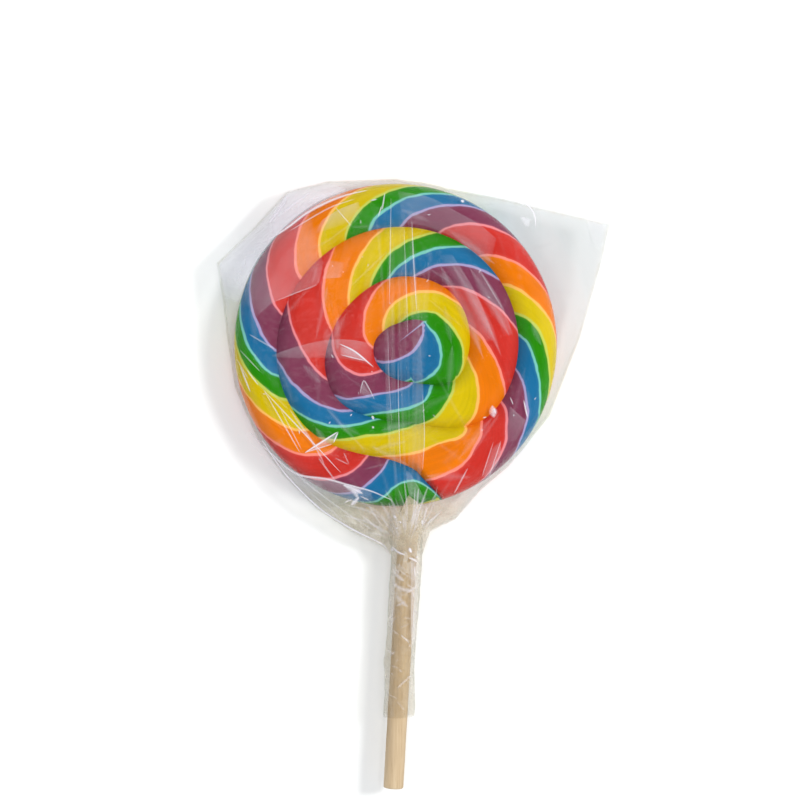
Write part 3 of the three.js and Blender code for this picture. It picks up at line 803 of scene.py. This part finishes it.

# Sharp creases over the candy and on the flaps, whitened and drawn as painted glints: points along each, its
# width and its milkiness and sheen.
CREASE_LINES = [
    ([(-0.6, -42.0), (0.1, -42.5)], 0.6, 1.0),
    ([(1.0, -43.3), (1.4, -43.9)], 0.4, 1.0),
    ([(0.1, -45.2), (0.6, -45.0)], 0.4, 1.0),
    ([(6.4, -43.0), (6.6, -44.3)], 0.6, 1.0),
    ([(3.3, -49.8), (3.9, -51.2)], 0.9, 1.0),
    ([(-1.3, -50.2), (-0.6, -50.9)], 0.7, 1.0),
    ([(-1.2, -49.5), (0.5, -51.0), (2.4, -51.8)], 0.6, 0.8),
    ([(-33.2, -23.0), (-27.4, -31.6), (-19.1, -40.1), (-11.0, -45.4), (-3.2, -49.4), (-1.6, -51.4)],
     0.6, 1.3),
    ([(10.5, 20.0), (14.5, 13.0), (18.5, 4.5), (21.5, -3.5)], 2.8, 0.10),
    ([(13.5, 20.5), (18.5, 12.0), (23.0, 4.0), (26.0, -3.0)], 2.4, 0.10),
    ([(18.0, 19.0), (23.0, 11.0), (28.0, 2.0)], 2.6, 0.10),
    ([(21.0, 17.5), (26.2, 8.8)], 0.5, 0.22),
    ([(-38.3, -1.2), (-33.1, -6.7)], 0.4, 0.3),
    ([(-39.0, -3.6), (-36.1, -8.4)], 0.4, 0.35),
    ([(-36.0, 2.6), (-29.5, -1.2)], 0.5, 0.25),
    ([(-34.3, 24.6), (-30.4, 26.3), (-26.4, 28.8), (-21.9, 32.2), (-17.2, 34.7), (-12.0, 36.7), (-6.8, 37.9)],
     0.7, 0.75),
    ([(-26.1, 27.8), (-16.2, 33.5), (-10.0, 35.7)], 0.4, 0.4),
    ([(-31.4, 29.8), (-26.4, 37.0)], 1.5, 0.5),
    ([(-27.7, 32.7), (-20.7, 37.9)], 1.1, 0.45),
    ([(-6.3, 35.2), (-4.3, 35.7)], 0.4, 0.7),
    ([(-4.3, 31.2), (-3.3, 34.2)], 0.4, 0.6),
    ([(-3.3, 32.7), (-2.6, 37.4)], 0.4, 0.6),
    ([(-14.8, 33.7), (-10.8, 29.0)], 0.35, 0.4),
    ([(-30.0, 10.4), (-19.2, 14.7)], 0.3, 0.3),
    ([(-13.8, 0.2), (-10.0, -1.7), (-5.3, -5.6)], 0.5, 0.85),
    ([(-13.5, -2.5), (-7.3, -4.0)], 0.35, 0.5),
    ([(-8.8, -12.2), (-7.8, -8.9), (-6.6, -10.6), (-5.1, -13.6)], 0.35, 0.5),
    ([(-32.6, -10.9), (-20.2, -24.1), (-13.3, -31.5)], 0.4, 0.55),
    ([(-32.1, -11.4), (-23.4, -26.5)], 0.4, 0.45),
    ([(-28.4, -15.4), (-22.9, -26.0)], 0.3, 0.35),
    ([(-26.0, -15.8), (-19.6, -25.2), (-17.4, -29.4)], 0.7, 0.25),
    ([(-19.0, -27.6), (-14.6, -33.6)], 0.5, 0.3),
    ([(-38.2, -5.2), (-35.6, -11.7)], 0.5, 0.6),
    ([(-36.6, -6.0), (-33.6, -10.0)], 0.4, 0.5),
    ([(-22.2, -26.5), (-14.0, -21.3)], 0.5, 0.9),
    ([(-14.0, -21.3), (-15.3, -24.3)], 0.45, 0.8),
    ([(-15.3, -24.3), (-22.2, -26.5)], 0.35, 0.5),
    ([(-14.8, -27.8), (-11.3, -29.5)], 0.35, 0.25),
    ([(-11.3, -29.5), (-12.8, -26.3)], 0.35, 0.25),
    ([(-12.8, -34.4), (-10.4, -35.4), (-8.0, -36.6)], 1.7, 0.85),
    ([(-10.8, -35.2), (-9.8, -36.6), (-9.2, -37.8)], 1.3, 0.6),
    ([(-11.2, -39.6), (-10.0, -38.6), (-8.9, -37.3)], 1.1, 0.75),
    ([(-12.9, -38.9), (-11.6, -38.4), (-10.4, -37.9)], 0.5, 0.5),
    ([(-8.7, -37.1), (-7.6, -37.7), (-6.4, -38.2)], 0.5, 0.5),
    ([(-36.3, -21.3), (-30.6, -26.8), (-24.4, -31.7), (-16.7, -33.0), (-11.3, -34.5), (-5.8, -36.0),
      (-0.4, -38.4)], 0.6, 0.7),
    ([(29.9, 36.0), (32.6, 34.7), (34.3, 32.0), (34.6, 28.8)], 0.5, 0.6),
    ([(16.1, 35.5), (16.9, 34.9)], 0.9, 1.0),
    ([(23.7, -14.9), (24.2, -18.1)], 2.0, 0.5),
    ([(24.1, -15.6), (24.5, -17.0)], 0.8, 0.9),
    ([(31.4, -13.6), (32.4, -18.1)], 0.45, 0.9),
    ([(28.1, -12.9), (28.9, -14.9)], 0.35, 0.6),
    ([(25.9, -23.4), (22.9, -32.7)], 0.35, 0.35),
    ([(24.0, -23.8), (21.2, -32.5)], 0.3, 0.3),
    ([(14.3, -36.7), (17.7, -30.3)], 0.5, 0.4),
    ([(-1.1, 36.0), (-1.3, 22.0), (-1.5, 10.0)], 0.35, 0.3),
    ([(-1.9, 4.0), (-1.6, -8.0), (-0.9, -20.0)], 0.3, 0.22),
    ([(2.1, 28.0), (2.7, 12.0), (3.0, 2.0)], 0.3, 0.25),
    ([(4.0, 30.5), (4.4, 21.0), (5.2, 8.0)], 0.4, 0.4),
    ([(0.6, -4.0), (0.8, -18.0), (1.2, -30.0)], 0.35, 0.3),
    ([(6.6, -12.0), (7.1, -22.0), (6.6, -31.0)], 0.3, 0.3),
    ([(-5.8, -17.4), (-5.3, -18.4)], 0.7, 0.9),
    ([(-5.8, -20.0), (-5.2, -20.6)], 0.6, 0.8),
    ([(-26.2, -30.4), (-16.0, -38.6), (-5.3, -46.0)], 0.45, 0.35),
    ([(-22.0, -35.6), (-12.0, -44.2)], 0.4, 0.35),
]

# Creases wound round the tail, with painted glints: millimetres along its girth from its top, and height;
# then as above.
TAIL_CREASES = [
    ([(0.2, -52.3), (1.7, -52.9), (3.2, -53.8)], 0.7, 0.8),
    ([(-3.9, -55.0), (-2.0, -57.0), (-0.1, -58.3)], 1.2, 0.5),
    ([(-3.6, -58.6), (-1.4, -59.9), (1.3, -60.5), (3.4, -59.2)], 1.2, 0.6),
    ([(-2.3, -61.7), (-0.5, -63.4), (0.9, -64.5)], 1.4, 0.35),
    ([(2.2, -54.6), (2.4, -57.6)], 0.6, 0.7),
    ([(1.8, -60.6), (2.5, -62.6)], 0.6, 0.6),
    ([(2.8, -68.9), (3.1, -69.9)], 0.7, 0.8),
    ([(3.3, -55.9), (3.4, -56.7)], 0.6, 0.8),
    ([(3.6, -65.3), (3.7, -66.4)], 0.5, 0.8),
    ([(2.3, -52.4), (3.0, -52.2)], 0.6, 0.8),
    ([(-3.2, -64.6), (-3.4, -72.0)], 0.6, 0.3),
    ([(2.6, -63.0), (2.9, -71.0)], 0.5, 0.45),
]
# Painted sheen along the tail, broad down its right side and fainter on its left.
TAIL_VEILS = [
    ([(1.2, -52.6), (1.4, -60.0), (1.9, -67.0), (2.6, -74.0)],
     [(4.4, -52.6), (4.6, -60.0), (4.6, -67.0), (4.6, -74.0)], (0.36, 0.2)),
    ([(-3.0, -54.0), (-2.4, -61.0), (-2.6, -70.0)],
     [(-4.9, -54.0), (-4.9, -61.0), (-4.6, -70.0)], (0.12, 0.25)),
]
TAIL_WARMTH = 0.3  # how far the tail's folds take on the stick's beige


def tent(distance, width):
    """A fold: 1 on its ridge, falling straight to 0 on both sides."""
    return np.maximum(0, 1 - np.sqrt(distance**2 + 0.01) / width)


def streaks(x, y):
    """Folds that run from the neck up over the middle of the candy."""
    draw = np.random.default_rng(SEED["streaks"]).uniform
    height, ridge = 0, 0
    share = np.clip((STREAK_TOP - y) / (STREAK_TOP - NECK[1]), 0, 1)
    for i in range(STREAK_COUNT):
        top = mix(*STREAK_SPREAD, (i + draw(0.1, 0.9)) / STREAK_COUNT)
        foot = NECK[0] + mix(-STREAK_FOOT, STREAK_FOOT, (i + 0.5) / STREAK_COUNT)
        width, size = draw(0.7, 1.6), draw(0.04, 0.12)
        begin, end = draw(0.0, 0.25), draw(0.75, 1.0)
        alive = stretch(share, begin, begin + 0.12, end - 0.1, end)
        bend = 0.5 * np.sin(share * 5 + i)
        distance = x - mix(top, foot, share) - bend
        height = height + size * alive * tent(distance, width)
        ridge = ridge + alive * tent(distance, RIDGE)
    return height, ridge


def pleats(x, y):
    """Folds that fan out from the neck and fade over the candy, further on the left."""
    draw = np.random.default_rng(SEED["pleats"]).uniform
    away = np.hypot(x - NECK[0], y - NECK[1])
    heading = np.degrees(np.arctan2(y - NECK[1], x - NECK[0]))
    height, ridge = 0, 0
    for i in range(PLEAT_COUNT):
        middle = mix(*PLEAT_FAN, (i + draw(0.1, 0.9)) / PLEAT_COUNT)
        reach = draw(14, 34) * (1.25 if middle > 120 else 1.0)
        size, width = draw(0.15, 0.38), draw(2.0, 4.5)
        alive = stretch(away, 1.5, 7, reach * 0.35, reach)
        distance = np.radians(heading - middle) * away
        height = height + size * alive * tent(distance, np.radians(width) * away + 0.25)
        ridge = ridge + alive * tent(distance, RIDGE)
    return height, ridge


def creases(x, y, seed):
    """Short straight creases, strewn over the bag."""
    dice = np.random.default_rng(seed)
    draw = dice.uniform
    height, ridge = 0, 0
    for _ in range(CREASE_COUNT):
        where, bearing = draw(0, 2 * math.pi), draw(0, math.pi)
        middle = polar(CREASE_FIELD * math.sqrt(draw(0.02, 1)), where)
        length, width, size = draw(4, 13), draw(0.9, 3.2), draw(0.03, 0.14)
        dx, dy = x - middle[0], y - middle[1]
        along = dx * math.cos(bearing) + dy * math.sin(bearing)
        across = dy * math.cos(bearing) - dx * math.sin(bearing)
        alive = np.maximum(0, 1 - (along / length) ** 2)
        sign = dice.choice([-1, 1])
        height = height + sign * size * alive * tent(across, width)
        ridge = ridge + alive**2 * tent(across, 0.4) * size * 7
    return height, ridge


def curl(x, y):
    """How far a flap's corner stands up, growing outward from the rim."""
    beyond = np.maximum(0, np.hypot(x, y) - CANDY_RADIUS) / 20
    upper = smoothstep(y, 0, CANDY_RADIUS / 2)
    return CORNER_CURL * upper * np.sin(3 * np.arctan2(y, x)) * beyond**1.5


def tail_radius(y, angle):
    """The twisted tail: folds that wind round the stick, sharp on their ridges."""
    down = TAIL_TOP - y
    deep = smoothstep(down, 0, 5)
    main = 1 - np.abs(np.sin(MAIN_FOLDS / 2 * angle + MAIN_TWIST * down + 0.5 * np.sin(0.21 * down)))
    minor = 1 - np.abs(np.sin(MINOR_FOLDS / 2 * angle + MINOR_TWIST * down + 1.3))
    crumple = TAIL_CRUMPLE * uneven(*polar(6, angle, 0, down), TAIL_CRUMPLE_SIZE, SEED["crumple"])
    return TAIL_RADIUS + deep * (MAIN_DEPTH * (main - 0.5) + MINOR_DEPTH * (minor - 0.5) + crumple)


def tail_point(y, angle, inset):
    axis = STICK_ENTRY[0] + (y - STICK_ENTRY[1]) * math.tan(STICK_LEAN)
    x, z = polar(tail_radius(y, angle) - inset, angle, axis)
    return np.stack(np.broadcast_arrays(x, y, z), axis=-1)


def bag_spokes(inset):
    """Where the films' spokes end: x, y, height above the mid-plane, and the pocket's reach on each."""
    angles = np.linspace(np.pi, 0, TAIL_HALF_SIDES + 1)
    ring = tail_point(np.full(len(angles), TAIL_TOP), angles, inset)
    ends = [(x, y, z, math.hypot(x, y)) for x, y, z in ring]
    corners = [tuple(ring[-1][:2]), *BAG_OUTLINE, tuple(ring[0][:2])]
    for a, b in zip(corners, corners[1:]):
        turn = abs(math.atan2(a[0] * b[1] - a[1] * b[0], a[0] * b[0] + a[1] * b[1]))
        count = math.ceil(turn / SPOKE_STEP)
        for i in range(1, count + 1):
            x, y = mix(a[0], b[0], i / count), mix(a[1], b[1], i / count)
            reach = max(math.hypot(x, y), CANDY_RADIUS + CLEARANCE + FILM + FLAP_EDGE)
            x, y = x * reach / math.hypot(x, y), y * reach / math.hypot(x, y)
            pocket = min(reach - FLAP_EDGE, CANDY_RADIUS + POCKET_REACH) - inset
            shrink = 1 - 4 * inset / reach
            ends.append((x * shrink, y * shrink, SEAM - inset, pocket))
    ends[-1] = ends[0]
    return np.array(ends)


def film_height(face, x, y, end_height, pocket_reach, inset):
    """How high one film of the bag lies over a point, and how creased it is there."""
    radius = np.hypot(x, y)
    margin = pocket_reach - CANDY_RADIUS
    roundness = mix(ROUNDNESS, FLAP_ROUNDNESS, smoothstep(margin, 0, POCKET_REACH))
    pocket = shoulder((radius - FLAT_RADIUS) / (pocket_reach - FLAT_RADIUS), roundness)
    clearance = CLEARANCE if face > 0 else UNDERSIDE_CLEARANCE
    height = mix(end_height, HALF_THICKNESS + clearance + FILM - inset, pocket)

    # The folds fade to nothing at the ring where the tail begins.
    settled = smoothstep(np.abs(y - TAIL_TOP), *TAIL_SETTLING)
    free = 1 - smoothstep(pocket, 0.0, 0.5)
    puff, ridge = creases(x, y, CREASE_SEED[face])
    if face > 0:
        for shape in (streaks, pleats):
            more, line = shape(x, y)
            puff, ridge = puff + more, ridge + line
    puff = puff + PUFF * uneven(x, y, PUFF_SIZE, PUFF_SEED[face])
    puff = PUFF_LIMIT * np.tanh(puff / PUFF_LIMIT)
    if face < 0:
        puff = np.minimum(puff * UNDERSIDE_PUFF, 0)
    waves = free * FLAP_WAVES * uneven(x, y, WAVE_SIZE, SEED["flaps"]) * smoothstep(radius, CANDY_RADIUS, 50)
    z = MID_HEIGHT + face * (height + settled * puff) + (curl(x, y) + waves) * settled
    return np.maximum(z, FLOOR_GAP + inset), np.clip(ridge * settled, 0, 1)


def film_sheet(face, inset):
    """One film of the bag: points from its middle out to its edge, along each spoke."""
    flat, slope = (FLAT_LEVELS, SLOPE_LEVELS) if face > 0 else (UNDERSIDE_FLAT_LEVELS, UNDERSIDE_SLOPE_LEVELS)
    ends = bag_spokes(inset)
    reach = np.hypot(ends[:, 0], ends[:, 1])
    inner = FLAT_RADIUS * np.arange(flat + 1)[:, None] / flat
    outer = mix(FLAT_RADIUS, reach, np.arange(1, slope + 1)[:, None] / slope)
    radius = np.concatenate([np.broadcast_to(inner, (flat + 1, len(reach))), outer])
    x, y = radius * ends[:, 0] / reach, radius * ends[:, 1] / reach
    z, ridge = film_height(face, x, y, ends[:, 2], ends[:, 3], inset)
    # The film is gathered toward the neck, less so on its right, and along the bag's edge.
    away = np.hypot(x - NECK[0], y - NECK[1]) * (1 + 0.5 * smoothstep(x, 4, 14))
    gather = (1 - smoothstep(away, *GATHER_REACH)) * smoothstep(radius, FLAT_RADIUS + 2, CANDY_RADIUS + 3)
    edge = EDGE_GATHER * (1 - smoothstep(reach - radius, 0.1, 0.8))
    # Painted light and shade on the flaps: lighter on the left, where the candy's shadow falls, darker on the
    # right.
    painted_flap_shade = mix(MIDDLE_FLAP_SHADE, smoothstep(x, -14, 12), smoothstep(radius, CANDY_RADIUS, CANDY_RADIUS + 2))
    return np.stack([x, y, z], axis=-1), {"crease": ridge, "gather": np.maximum(gather, edge), "painted_flap_shade": painted_flap_shade}


def on_bag(x, y, proud):
    """Points that lie on the upper film, standing a little proud of it."""
    ends = bag_spokes(0.0)
    angle = np.unwrap(np.arctan2(ends[:, 1], ends[:, 0]))
    at = (np.arctan2(y, x) - angle[0]) % (2 * math.pi) + angle[0]
    z, _ = film_height(1, x, y, np.interp(at, angle, ends[:, 2]), np.interp(at, angle, ends[:, 3]), 0.0)
    return np.stack([x, y, z + proud], axis=-1)


def on_tail(across, y, proud):
    """Points on the tail, by how many millimetres along its girth they lie from its top line."""
    return raised(tail_point(y, np.pi / 2 - across / TAIL_RADIUS, -proud))


def raised(points):
    """Points given from the mid-plane, in the frame's heights."""
    points[..., 2] += MID_HEIGHT
    return points


def along_line(keys, step):
    """Points along a smooth line through keys, about a step apart."""
    keys = np.array(keys, float)
    place = np.concatenate([[0], np.cumsum(np.hypot(*np.diff(keys, axis=0).T))])
    at = np.linspace(0, place[-1], max(3, math.ceil(place[-1] / step)) + 1)
    return np.stack([curve_through(list(zip(place, keys[:, axis])))(at) for axis in (0, 1)], axis=-1)


def sheen_lens_sheets(lay, plan, milk_and_sheen, gap, warm):
    """A thin lens that carries painted sheen and milkiness, closed along its outline; lay puts plan points on
    the bag.
    """
    x, y = plan[..., 0], plan[..., 1]
    inside = np.zeros(x.shape)
    inside[1:-1, 1:-1] = 1
    top, low = lay(x, y, gap + FOLD_THICKNESS * inside), lay(x, y, gap)
    down, aside = plan[1:, :-1] - plan[:-1, :-1], plan[:-1, 1:] - plan[:-1, :-1]
    upright = bool(np.sum(down[..., 0] * aside[..., 1] - down[..., 1] * aside[..., 0]) > 0)
    data = {"milk_and_sheen": milk_and_sheen, "warm": np.full((1, 1), warm)}
    return [(top, upright, data), (low, not upright, data)]


def crease_line(lay, keys, width, milk_and_sheen, warm=0.0):
    """A sharp crease of painted glint and whitened film: a narrow ribbon, pointed at both ends and strongest
    on its ridge.
    """
    line = along_line(keys, LINE_STEP)
    heading = np.gradient(line, axis=0)
    heading = heading / np.linalg.norm(heading, axis=1)[:, None]
    aside = np.stack([-heading[:, 1], heading[:, 0]], axis=-1)
    taper = min(max(width / 2, 0.5), 1.0)  # a broad crease fades out more slowly
    half = width / 2 * np.maximum(0, np.sin(np.pi * np.linspace(0, 1, len(line))))[:, None] ** taper
    plan = line[:, None] + aside[:, None] * (half * LINE_PROFILE)[..., None]
    return sheen_lens_sheets(lay, plan, milk_and_sheen * np.broadcast_to(LINE_MILK_AND_SHEEN, plan.shape[:2]), LINE_GAP, warm)


def veil(lay, first, second, milk_and_sheen, warm=0.0):
    """A facet of painted reflection and milky film between two lines; its milkiness and sheen run from the
    first line's to the second's.
    """
    sides = [along_line(keys, FACET_STEP) for keys in (first, second)]
    share = np.linspace(0, 1, max(map(len, sides)))
    a, b = (np.stack([np.interp(share, np.linspace(0, 1, len(side)), column) for column in side.T], axis=-1)
            for side in sides)
    width = np.linalg.norm(a - b, axis=1).max()
    across = np.linspace(0, 1, max(3, math.ceil(width / FACET_STEP)) + 1)[None, :, None]
    plan = mix(a[:, None], b[:, None], across)
    milk_and_sheen = mix(*milk_and_sheen, across[..., 0]) * stretch(share, -0.1, 0.15, 0.85, 1.1)[:, None]
    return sheen_lens_sheets(lay, plan, milk_and_sheen, FOLD_GAP, warm)


def make_fold_sheen():
    sheets = []
    for lines in VEILS:
        sheets += veil(on_bag, *lines)
    for lines in NECK_VEILS:
        sheets += veil(on_bag, *lines, 1.0)
    for line in CREASE_LINES:
        sheets += crease_line(on_bag, *line)
    for line in TAIL_CREASES:
        sheets += crease_line(on_tail, *line, TAIL_WARMTH)
    dice = np.random.default_rng(SEED["folds"])
    draw = dice.uniform
    for _ in range(FAINT_SHEEN_CREASES):  # painted soft reflections, broad and faint, roughly round the candy
        out, where = draw(13, 36), draw(0, 2 * math.pi)
        bearing, length = where + math.pi / 2 + draw(-0.45, 0.45), draw(2.0, 7.0)
        keys = [polar(along, bearing, *polar(out, where)) for along in (-length, 0.0, length)]
        keys = [key for key in keys if math.hypot(*key) < CANDY_RADIUS - 1]
        if len(keys) > 1:
            sheets += crease_line(on_bag, keys, draw(0.5, 2.6), draw(0.015, 0.075))
    for i in range(FUNNEL_CREASES):  # whitened creases with painted sheen, narrow, in a fan from the neck
        heading = math.radians(mix(*FUNNEL_FAN, (i + draw(0.1, 0.9)) / FUNNEL_CREASES))
        start, length, bend = draw(2.5, 9), draw(3, 11), draw(-0.03, 0.03)
        keys = [polar(start + more, heading + bend * more, *NECK) for more in (0, length / 2, length)]
        sheets += crease_line(on_bag, keys, draw(0.3, 0.8), draw(0.08, 0.32))
    for lines in TAIL_VEILS:
        sheets += veil(on_tail, *lines, TAIL_WARMTH)
    for _ in range(SPARKLES):  # painted glints, tiny and bright, anywhere over the candy
        out, where, bearing = 37 * math.sqrt(draw(0, 1)), draw(0, 2 * math.pi), draw(0, math.pi)
        spot = polar(out, where)
        keys = [spot, polar(draw(0.3, 1.3), bearing, *spot)]
        sheets += crease_line(on_bag, keys, draw(0.2, 0.4), draw(0.3, 0.9))
    for i in range(LOOSE_TAIL_CREASES):  # painted glints, short, across the tail and down it, mostly to the right
        y = mix(TAIL_TOP - 1.5, TAIL_END + 4, (i + draw(0, 1)) / LOOSE_TAIL_CREASES)
        across, lean = draw(-5, 4), draw(0.3, 1.1) * dice.choice([1, 1, -1])
        length = draw(0.8, 3.2)
        keys = [(across + more, y - lean * more) for more in (0, length / 2, length)]
        sheets += crease_line(on_tail, keys, draw(0.3, 0.7), draw(0.1, 0.45), TAIL_WARMTH)
    folds = make_piece("film_fold_sheen", sheets)
    folds.data.materials.append(fold_sheen_material())
    return folds


def tail_sheet(inset):
    y = mix(TAIL_TOP, TAIL_END, np.arange(TAIL_RINGS + 1)[:, None] / TAIL_RINGS)
    upper = np.linspace(np.pi, 0, TAIL_HALF_SIDES + 1)
    angle = np.concatenate([upper, -upper[::-1][1:]])
    ridge = 0.6 * smoothstep(tail_radius(y, angle) - TAIL_RADIUS, 0.12, 0.34)
    gather = mix(*TAIL_GATHER, smoothstep(TAIL_TOP - y, 4, 20))
    data = {"crease": ridge, "gather": gather, "painted_flap_shade": np.full((1, 1), MIDDLE_FLAP_SHADE)}
    return raised(tail_point(y, angle, inset)), data


def make_film():
    """The bag: its two films and its tail, outside and inside, joined at its edge and its mouth."""
    plain = {"crease": np.zeros((1, 1)), "gather": np.zeros((1, 1)), "painted_flap_shade": np.full((1, 1), MIDDLE_FLAP_SHADE)}
    first = TAIL_HALF_SIDES  # the spokes before this one end on the tail's ring
    sheets, tail_ends = [], []
    for inset, outside in ((0.0, True), (FILM, False)):
        (top, top_data), (under, under_data) = film_sheet(1, inset), film_sheet(-1, inset)
        tail, tail_data = tail_sheet(inset)
        edge = np.stack([top[-1, first:], under[-1, first:]])
        sheets += [(top, outside, top_data), (under, not outside, under_data), (edge, outside, plain),
                   (tail, outside, tail_data)]
        tail_ends.append(tail[-1])
    sheets.append((np.stack(tail_ends), True, plain))
    film = make_piece("film_bag", sheets)
    film.data.materials.append(film_material())
    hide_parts("wrapper")
    return film


# ---- Studio

FRAME_WIDTH = 198.4  # what the camera's frame covers at the candy's mid-plane
FRAME_CENTRE = (1.1, -13.6)
LENS = 100.0
SENSOR = 36.0
FLOOR_SIZE = 3000.0
FLOOR_COLOUR = (0.918, 0.931, 0.929, 1.0)
FILM_LAYERS = 48  # how many faces of the film light passes on its way in and out
SURROUND = [(0.0, 0.40), (0.40, 1.0), (0.75, 1.0), (0.97, 0.10)]  # height toward the zenith, and brightness
SURROUND_TINT = (0.975, 0.99, 1.02)
SURROUND_STRENGTH = 0.66
LIGHT_AIM = Vector((0.0, -0.01, 0.006))  # metres


def make_floor():
    floor = bpy.data.meshes.new("floor")
    reach = FLOOR_SIZE / 2 * MM
    corners = [(-reach, -reach), (reach, -reach), (reach, reach), (-reach, reach)]
    floor.from_pydata([(x, y, -FLOOR_GAP * MM) for x, y in corners], [], [(0, 1, 2, 3)])
    piece = link("floor", floor)
    s = new_material("pale_floor")
    floor.materials.append(s.finish(s.add("BsdfPrincipled", {
        "Base Color": FLOOR_COLOUR, "Roughness": 0.8, "Specular IOR Level": 0.1})))


def softbox(name, place, size, power, colour=(1.0, 1.0, 1.0), glossy=True):
    """A square area light at a place, in metres, that faces the candy."""
    light = bpy.data.lights.new(name, "AREA")
    light.size = size
    light.energy = power
    light.color = colour
    lamp = link(name, light)
    lamp.location = place
    lamp.rotation_euler = (lamp.location - LIGHT_AIM).to_track_quat("Z", "Y").to_euler()
    lamp.visible_glossy = glossy


def make_world():
    """A soft surround, brightest halfway up and dim overhead."""
    world = bpy.data.worlds.new("surround")
    bpy.context.scene.world = world
    s = Shading(world, "OutputWorld")
    height = s.add("SeparateXYZ", {"Vector": s.add("TexCoord", out="Generated")}, "Z")
    stops = [(place, tuple(level * tint for tint in SURROUND_TINT)) for place, level in SURROUND]
    s.finish(s.add("Background", {"Color": s.ramp(height, stops, "EASE"), "Strength": SURROUND_STRENGTH}))


def make_camera():
    camera = bpy.data.cameras.new("camera")
    camera.lens = LENS
    camera.sensor_width = SENSOR
    eye = link("camera", camera)
    distance = FRAME_WIDTH * LENS / SENSOR
    eye.location = (FRAME_CENTRE[0] * MM, FRAME_CENTRE[1] * MM, (MID_HEIGHT + distance) * MM)
    bpy.context.scene.camera = eye


def make_studio():
    """Floor, surround, camera and lights; the film shows no glare of the key and fill lights."""
    make_floor()
    make_world()
    make_camera()
    softbox("key", (0.55, 0.12, 0.66), 0.16, 3.8, (1.0, 0.985, 0.96), glossy=False)
    softbox("fill", (0.0, 0.0, 1.3), 0.6, 7.5, glossy=False)
    softbox("ceiling_panel", (-0.10, 0.115, 1.2), 0.17, 0.10)
    scene = bpy.context.scene
    scene.view_settings.view_transform = "Standard"
    scene.cycles.transparent_max_bounces = FILM_LAYERS


for piece in (make_candy(), make_stick(), make_film(), make_fold_sheen()):
    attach(piece, "root")
make_studio()
